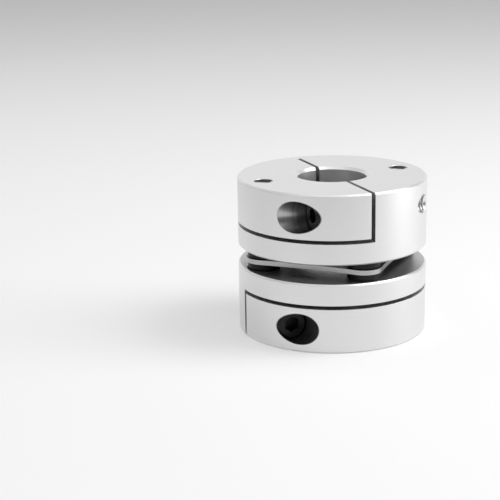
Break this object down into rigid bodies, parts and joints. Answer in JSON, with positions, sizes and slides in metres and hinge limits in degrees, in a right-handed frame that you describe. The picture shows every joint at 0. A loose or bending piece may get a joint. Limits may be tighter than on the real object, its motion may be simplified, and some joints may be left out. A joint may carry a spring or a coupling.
{
  "type": "disc coupling",
  "caption": "Flexible shaft coupling: slit clamping hubs joined through a thin laminated disc pack, for two shafts in line.",
  "frame": {"origin": "centre of the lower hub's end face, on the shaft axis", "axes": "+Z along the shaft axis, upward out of the upper hub; the upper hub's clamp slit faces -Y and its screw mouth -X; the lower hub's slit faces -X and its screw mouth -Y"},
  "size_m": [0.082, 0.082, 0.068],
  "materials": {
    "hub": "satin clear-anodised, fine turned",
    "disc": "cold-rolled stainless spring sheet",
    "collar": "black-oxide turned steel",
    "screw": "black-oxide socket screw"
  },
  "bodies": {
    "root": {"disc_bolt_lower_1": "screw", "disc_bolt_lower_2": "screw", "disc_bolt_upper_1": "screw", "disc_bolt_upper_2": "screw", "disc_leaf_1": "disc", "disc_leaf_2": "disc", "disc_leaf_3": "disc", "disc_leaf_4": "disc", "disc_leaf_5": "disc", "head_collar_lower_1": "collar", "head_collar_lower_2": "collar", "head_collar_upper_1": "collar", "head_collar_upper_2": "collar", "hub_collar_lower_1": "collar", "hub_collar_lower_2": "collar", "hub_collar_upper_1": "collar", "hub_collar_upper_2": "collar", "lower_clamp_screw": "screw", "lower_hub": "hub", "upper_clamp_screw": "screw", "upper_hub": "hub"}
  },
  "joints": []
}
